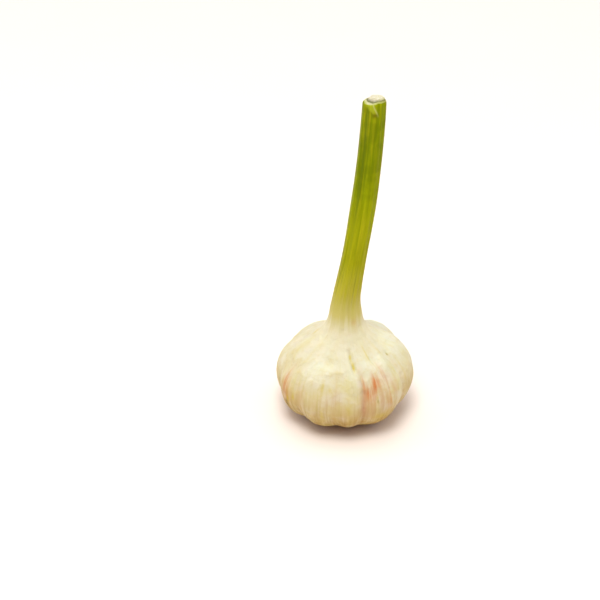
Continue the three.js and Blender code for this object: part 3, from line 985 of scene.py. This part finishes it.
def build_stem(sizes, colours):
    """The green stem, with the layers of leaf in its cut end and its foot hidden in the neck."""
    curve, run, neck_run = plant_outline()
    radii, heights, along = even_rings(curve, run, neck_run, run[-1], STEM_RINGS)
    azimuth = ring_azimuths(STEM_SEGMENTS)[None, :]
    edge = radii[-1]

    # The cut end inwards from the stem's edge: share of the radius left, rise over the outline's top in
    # millimetres, how much of the torn leaf's drop it takes, sideways shift in millimetres, whether it is cut
    # flesh, and how much painted shade it takes in the gap between two layers. The stalk in the middle stands
    # a little higher than the leaf layers round it, and off centre.
    end_profile = [
        (0.99, 0.4, 0.5, 0.0, 0, 0),
        (0.965, 0.8, 0.5, 0.02, 0, 0),
        (0.93, 1.2, 0.7, 0.08, 1, 0),
        (0.88, 1.5, 0.8, 0.15, 1, 0),
        (0.83, 1.65, 0.7, 0.3, 1, 0),
        (0.79, 1.6, 0.5, 0.4, 1, 0.5),
        (0.75, 1.45, 0.3, 0.5, 1, 1),
        (0.71, 1.6, 0.15, 0.6, 1, 0.7),
        (0.68, 2.0, 0.05, 0.65, 1, 0.2),
        (0.655, 2.35, 0.0, 0.65, 1, 0),
        (0.62, 2.6, 0.0, 0.65, 1, 0),
        (0.56, 2.85, 0.0, 0.65, 1, 0),
        (0.40, 2.95, 0.0, 0.65, 1, 0),
        (0.22, 3.0, 0.0, 0.65, 1, 0),
        (0.08, 3.0, 0.0, 0.65, 1, 0),
    ]
    _, top_rise, _, top_shift, _, _ = end_profile[-1]

    # The outer leaf is torn: it ends lower for about 40 degrees to each side of the groove, hardly at all
    # past 13 degrees right of the front, and the stem's last 4% dips with it.
    torn = np.exp(-np.abs(turn_between(azimuth[0], GROOVE_AZIMUTH) / 40) ** 3)
    torn = torn * (1 - 0.85 * smoothstep(turn_between(azimuth[0], 8), 0, 5))
    torn_drop = 1.1 * MM
    flesh_roughness = 0.22 * MM

    # Rings from the foot up, and what is kept with each: its share of the stem's length, its place along the
    # grain, whether it is cut flesh, and how much painted shade the gap between two layers takes.
    foot = NECK_TOP - SOCKET_DEPTH + FIT_GAP
    rings = [around_straight(azimuth[0], r, z) for r, z in (
        (SOCKET_RADIUS * 0.5, foot), (SOCKET_RADIUS, foot), (SOCKET_RADIUS, NECK_TOP))]
    kept = [(-1.0, neck_run, 0, 0)] * len(rings)
    for r, z, s in zip(radii, heights, along):
        share = (s - neck_run) / (run[-1] - neck_run)
        drop = torn * torn_drop * smoothstep(share, 0.96, 1)
        rings.append(around_straight(azimuth[0], r, z - drop))
        kept.append((share, s, 0, 0))
    for left, rise, hang, shift, flesh, gap in end_profile:
        ring = around_straight(azimuth[0], edge * left, heights[-1] + rise * MM - torn * torn_drop * hang)
        rough = noise_on(ring, (900, 900, 900), 8.3) * flesh_roughness * flesh
        ring = ring + np.stack([np.full_like(rough, shift * MM), np.zeros_like(rough), rough], axis=-1)
        rings.append(ring)
        kept.append((1.0, run[-1] + edge * (1 - left), flesh, gap))
    rings = np.array(rings)
    shares, runs, flesh_flags, gaps = np.array(kept).T

    # The torn leaf folds over itself at the front: a flap 3.4 mm long and 0.28 mm thick, whose left side runs
    # from 72 degrees left of the front, at the cut, to the front at its tip, and whose right side runs from 6
    # degrees left to 16 degrees right. Its face and its right edge are painted lighter as a highlight,
    # painted shade darkens a spot under its tip, and painted shade darkens a stripe up the groove.
    turn = turn_between(azimuth, 0)
    level = rings[:, :, 2]
    down = (heights[-1] - level) / (3.4 * MM)
    right_side = -6 + 22 * down
    flap = smoothstep(turn, -72 + 72 * down, -36 + 44 * down)
    flap = flap * (1 - smoothstep(turn, right_side - 2, right_side + 3))
    flap = flap * smoothstep(1 - down, 0, 0.25) * smoothstep(level, 120 * MM, 124 * MM)
    flap_edge = np.exp(-((turn - right_side) / 3.5) ** 2) * smoothstep(1.3 - down, 0, 0.5)
    out = around_straight(turn, 1, 0)
    rings = rings + flap[:, :, None] * out * 0.28 * MM * (shares[:, None, None] < 1)
    fold_tip_shade = np.exp(-((turn - 2) / 17) ** 2 - ((level - 131.8 * MM) / (0.9 * MM)) ** 2)
    groove_shade = np.exp(-(turn_between(azimuth, -41) / 20) ** 2) * smoothstep(level, 66 * MM, 105 * MM)

    mesh = wrapped_mesh("stem_sheath", rings, (0, 0, foot), (top_shift * MM, 0, heights[-1] + top_rise * MM))
    none = np.zeros_like(level)
    store(mesh, "grain", grain_coordinates(azimuth, runs[:, None]).reshape(-1, 3))
    store(mesh, "share", np.append(np.repeat(shares, STEM_SEGMENTS), [-1.0, 1.0]))
    store(mesh, "cut_end", np.append(np.repeat(flesh_flags, STEM_SEGMENTS), [0.0, 1.0]))
    store(mesh, "gap", np.repeat(gaps, STEM_SEGMENTS))
    store(mesh, "flap", np.stack([flap, flap_edge, none], axis=-1).reshape(-1, 3))
    store(mesh, "tints", np.zeros((level.size, 3)))
    store(mesh, "marks", np.stack([none, groove_shade * (1 - flap), 0.75 * fold_tip_shade], axis=-1).reshape(-1, 3))
    piece = link_piece("stem_sheath", mesh)
    tree = stem_tree(sheath_material(colours), pith_material(colours))
    apply_tree(piece, tree, {"Rib Height": sizes.rib_height, "Groove Depth": sizes.groove_depth})
    finish_piece(piece, "stem")


# Root plate and roots


def build_root_plate(colours):
    """The corky disc that the roots grow from, cut flat underneath."""
    azimuth = ring_azimuths(PLATE_SEGMENTS)

    # (radius, height) in millimetres, from the middle of the cut face out, up the rim and in over the top.
    profile = [
        (1.5, 0.0), (3.5, 0.0), (5.5, 0.0), (7.4, 0.0), (8.6, 0.0), (9.1, 0.35), (9.6, 0.75),
        (10.0, 1.15), (10.2, 1.5), (10.2, 2.1), (10.2, 2.7), (9.5, 3.4), (6.0, 3.4), (3.0, 3.4),
    ]
    rings = np.array([around_straight(azimuth, r * MM, z * MM) for r, z in profile])

    # It is rough by about 0.12 mm up to 2.9 mm, and nothing reaches below the cut face.
    level = rings[:, :, 2]
    rough = noise_on(rings, (900, 900, 900), 5.2) + noise_on(rings, (300, 300, 300), 2.4)
    lift = np.where(level < 2.9 * MM, rough * 0.12 * MM, 0)
    rings[:, :, 2] = np.maximum(0, level + np.where(level < 0.1 * MM, np.abs(lift), lift))
    mesh = wrapped_mesh("root_plate_cork", rings, (0, 0, 0), (0, 0, PLATE_TOP))
    mesh.materials.append(cork_material(colours))
    finish_piece(link_piece("root_plate_cork", mesh), "root_plate")


def roots_tree(material):
    """Geometry Nodes that set cut roots on the root plate's shoulder, in the order of a sunflower's seeds."""
    tree, known = new_tree("cut_roots", {
        "Count": ROOT_COUNT, "Seed": 4, "Root Radius": ROOT_RADIUS, "Root Length": ROOT_LENGTH,
        "Inner Radius": 8.7 * MM, "Outer Radius": 10.1 * MM, "Inner Height": 0.5 * MM,
        "Outer Height": 2.0 * MM, "Sink": 0.7 * MM,
    })
    known["index"] = add(tree, "GeometryNodeInputIndex")

    # Random numbers, each with a seed of its own: a root's place on the shoulder, from its rim underneath (0)
    # to its side (1), its angle off the even order, its thickness and its length.
    ranges = [("out", 0.0, 1.0), ("stray", -0.06, 0.06), ("thickness", 0.7, 1.15), ("length", 0.75, 1.1)]
    for offset, (name, low, high) in enumerate(ranges):
        seed = add(tree, "ShaderNodeMath", {0: known["Seed"], 1: offset}, operation="ADD")
        known[name] = add(tree, "FunctionNodeRandomValue", {
            2: low, 3: high, "ID": known["index"], "Seed": seed}, data_type="FLOAT").outputs[1]

    # What changes across the shoulder, from its rim to its side.
    changes = [
        ("radius", known["Inner Radius"], known["Outer Radius"]),
        ("height", known["Inner Height"], known["Outer Height"]),
        ("tilt", math.radians(12), math.radians(78)),
    ]
    for name, at_rim, at_side in changes:
        known[name] = add(tree, "ShaderNodeMapRange", {
            "Value": known["out"], "To Min": at_rim, "To Max": at_side})

    # Each sum has a name, an operation and what it works on: numbers, sizes or the sums before it.
    golden_turn = math.pi * (3 - math.sqrt(5))
    sums = [
        ("even turn", "MULTIPLY", "index", golden_turn),
        ("angle", "ADD", "even turn", "stray"),
        ("cosine", "COSINE", "angle"),
        ("sine", "SINE", "angle"),
        ("x", "MULTIPLY", "radius", "cosine"),
        ("y", "MULTIPLY", "radius", "sine"),
        ("outwards", "SINE", "tilt"),
        ("upright", "COSINE", "tilt"),
        ("down", "MULTIPLY", "upright", -1),
        ("way x", "MULTIPLY", "outwards", "cosine"),
        ("way y", "MULTIPLY", "outwards", "sine"),
        ("cut radius", "MULTIPLY", "Root Radius", 0.92),
        ("drop", "MULTIPLY", "Sink", -1),
    ]
    for name, operation, *values in sums:
        inputs = {number: known.get(value, value) for number, value in enumerate(values)}
        known[name] = add(tree, "ShaderNodeMath", inputs, operation=operation)
    spot, way, size, stretch, sink = [
        add(tree, "ShaderNodeCombineXYZ", {number: known[name] for number, name in enumerate(names) if name})
        for names in (
            ("x", "y", "height"), ("way x", "way y", "down"), ("Root Radius", "Root Radius", "Root Length"),
            ("thickness", "thickness", "length"), (None, None, "drop"))
    ]
    points = add(tree, "GeometryNodePoints", {"Count": known["Count"], "Position": spot})

    # One root, a slightly tapered tube along +Z that starts below its spot, with its own coordinates kept.
    tube = add(tree, "GeometryNodeMeshCone", {
        "Vertices": 10, "Side Segments": 2, "Fill Segments": 2, "Radius Top": known["cut radius"],
        "Radius Bottom": known["Root Radius"], "Depth": known["Root Length"]})
    position = add(tree, "GeometryNodeInputPosition")
    own = add(tree, "ShaderNodeVectorMath", {0: position, 1: size}, operation="DIVIDE")
    kept = add(tree, "GeometryNodeStoreNamedAttribute", {
        "Geometry": tube, "Name": "root_place", "Value": own}, data_type="FLOAT_VECTOR", domain="POINT")
    sunk = add(tree, "GeometryNodeTransform", {"Geometry": kept, "Translation": sink})
    aligned = add(tree, "FunctionNodeAlignRotationToVector", {"Vector": way}, axis="Z")
    placed = add(tree, "GeometryNodeInstanceOnPoints", {
        "Points": points, "Instance": sunk, "Rotation": aligned, "Scale": stretch})
    real = add(tree, "GeometryNodeRealizeInstances", {0: placed})

    # What would reach below the cut face is cut off level with it.
    now = add(tree, "ShaderNodeSeparateXYZ", {0: position}).outputs
    floor = add(tree, "ShaderNodeMath", {0: now["Z"], 1: 0.0}, operation="MAXIMUM")
    level = add(tree, "ShaderNodeCombineXYZ", {0: now["X"], 1: now["Y"], 2: floor})
    trimmed = add(tree, "GeometryNodeSetPosition", {"Geometry": real, "Position": level})
    done = add(tree, "GeometryNodeSetMaterial", {"Geometry": trimmed, "Material": material})
    add(tree, "NodeGroupOutput", {0: done})
    return tree


def build_roots(sizes):
    """The short cut roots all round the root plate."""
    piece = link_piece("cut_roots", bpy.data.meshes.new("cut_roots"))
    apply_tree(piece, roots_tree(root_material()), {
        "Count": sizes.root_count, "Root Radius": sizes.root_radius, "Root Length": sizes.root_length})
    finish_piece(piece)


# Stage


def look_from(name, data, place, way):
    """Puts a lamp or a camera in the scene, looking along a way."""
    holder = bpy.data.objects.new(name, data)
    holder.matrix_world = Matrix.Translation(place) @ way.to_track_quat("-Z", "Y").to_matrix().to_4x4()
    bpy.context.scene.collection.objects.link(holder)
    return holder


def build_stage():
    """A wide pale table, soft light from the front, the back and both sides, and the camera."""
    floor = link_piece("table_top", bpy.data.meshes.new("table_top"))
    rim = around_straight(ring_azimuths(TABLE_SEGMENTS), TABLE_RADIUS, 0)
    floor.data.from_pydata(rim.tolist(), [], [list(range(len(rim)))])
    floor.data.materials.append(floor_material())

    # A sky that is brown at the horizon and white above. The camera sees it white all over, past the table.
    world = bpy.data.worlds.new("soft_daylight")
    world.use_nodes = True
    tree = world.node_tree
    way = add(tree, "ShaderNodeTexCoord").outputs["Generated"]
    high = mask_strength(tree, (
        add(tree, "ShaderNodeSeparateXYZ", {0: way}).outputs["Z"], 0.15, 0.92, 0, 1))
    seen = add(tree, "ShaderNodeLightPath").outputs["Is Camera Ray"]
    white = add(tree, "ShaderNodeMath", {0: high, 1: seen}, operation="MAXIMUM")
    sky = layered(tree, linear("7c3c0a"), [([white], linear("ffffff"))])
    tree.links.new(sky, tree.nodes["Background"].inputs["Color"])
    tree.nodes["Background"].inputs["Strength"].default_value = 0.92
    bpy.context.scene.world = world

    # Name, place and side in metres, and power in watts.
    lamps = [
        ("back_softbox", (-0.1, 0.45, 1.2), 0.9, 3.0),
        ("front_softbox", (-0.1, -0.4, 1.2), 0.5, 9.0),
        ("left_softbox", (-1.1, 0.35, 0.6), 0.8, 2.4),
        ("right_softbox", (1.1, 0.35, 0.6), 0.8, 2.4),
    ]
    for name, place, side, power in lamps:
        lamp = bpy.data.lights.new(name, "AREA")
        lamp.size = side
        lamp.energy = power
        look_from(name, lamp, Vector(place), Vector(LAMP_AIM) - Vector(place))

    down = math.radians(CAMERA_DOWN)
    ahead = Vector((0, math.cos(down), -math.sin(down)))
    upwards = Vector((0, math.sin(down), math.cos(down)))
    metres_per_pixel = MM_PER_PIXEL * MM
    aside = (AIM_PIXEL[0] - PICTURE_SIDE / 2) * metres_per_pixel
    above = (PICTURE_SIDE / 2 - AIM_PIXEL[1]) * metres_per_pixel
    eye = Vector((0, 0, AIM_HEIGHT)) - aside * Vector((1, 0, 0)) - above * upwards - CAMERA_DISTANCE * ahead
    camera = bpy.data.cameras.new("camera")
    camera.sensor_width = SENSOR_WIDTH
    camera.lens = SENSOR_WIDTH * CAMERA_DISTANCE / (PICTURE_SIDE * metres_per_pixel)
    bpy.context.scene.camera = look_from("camera", camera, eye, ahead)
    bpy.context.scene.view_settings.view_transform = "Standard"


# Operators, panel and registration


class GARLIC_OT_bulb(bpy.types.Operator):
    """Build the wrapped cloves with their neck"""

    bl_idname = "garlic.bulb"
    bl_label = "Bulb"

    def execute(self, context):
        build_bulb(context.scene.garlic_sizes, context.scene.garlic_colours)
        return {"FINISHED"}


class GARLIC_OT_stem(bpy.types.Operator):
    """Build the green stem with its cut end"""

    bl_idname = "garlic.stem"
    bl_label = "Stem"

    def execute(self, context):
        build_stem(context.scene.garlic_sizes, context.scene.garlic_colours)
        return {"FINISHED"}


class GARLIC_OT_root_plate(bpy.types.Operator):
    """Build the corky root plate"""

    bl_idname = "garlic.root_plate"
    bl_label = "Root Plate"

    def execute(self, context):
        build_root_plate(context.scene.garlic_colours)
        return {"FINISHED"}


class GARLIC_OT_roots(bpy.types.Operator):
    """Build the cut roots round the root plate"""

    bl_idname = "garlic.roots"
    bl_label = "Cut Roots"

    def execute(self, context):
        build_roots(context.scene.garlic_sizes)
        return {"FINISHED"}


class GARLIC_OT_stage(bpy.types.Operator):
    """Build the table, the lights and the camera"""

    bl_idname = "garlic.stage"
    bl_label = "Stage"

    def execute(self, context):
        build_stage()
        return {"FINISHED"}


class GARLIC_PT_build(bpy.types.Panel):
    """Lists the garlic bulb's pieces and settings"""

    bl_idname = "GARLIC_PT_build"
    bl_label = "Garlic Bulb"
    bl_space_type = "VIEW_3D"
    bl_region_type = "UI"
    bl_category = "Garlic"

    def draw(self, context):
        for operator in OPERATORS:
            self.layout.operator(operator.bl_idname)
        for group in (context.scene.garlic_sizes, context.scene.garlic_colours):
            box = self.layout.box()
            for name in group.__annotations__:
                box.prop(group, name)


OPERATORS = (GARLIC_OT_stage, GARLIC_OT_bulb, GARLIC_OT_stem, GARLIC_OT_root_plate, GARLIC_OT_roots)
CLASSES = (GarlicSizes, GarlicColours, *OPERATORS, GARLIC_PT_build)


def register():
    for cls in CLASSES:
        bpy.utils.register_class(cls)
    bpy.types.Scene.garlic_sizes = bpy.props.PointerProperty(type=GarlicSizes)
    bpy.types.Scene.garlic_colours = bpy.props.PointerProperty(type=GarlicColours)


def unregister():
    del bpy.types.Scene.garlic_colours
    del bpy.types.Scene.garlic_sizes
    for cls in reversed(CLASSES):
        bpy.utils.unregister_class(cls)


def main():
    register()
    bpy.ops.garlic.stage()
    bpy.ops.garlic.bulb()
    bpy.ops.garlic.stem()
    bpy.ops.garlic.root_plate()
    bpy.ops.garlic.roots()


if __name__ == "__main__":
    main()
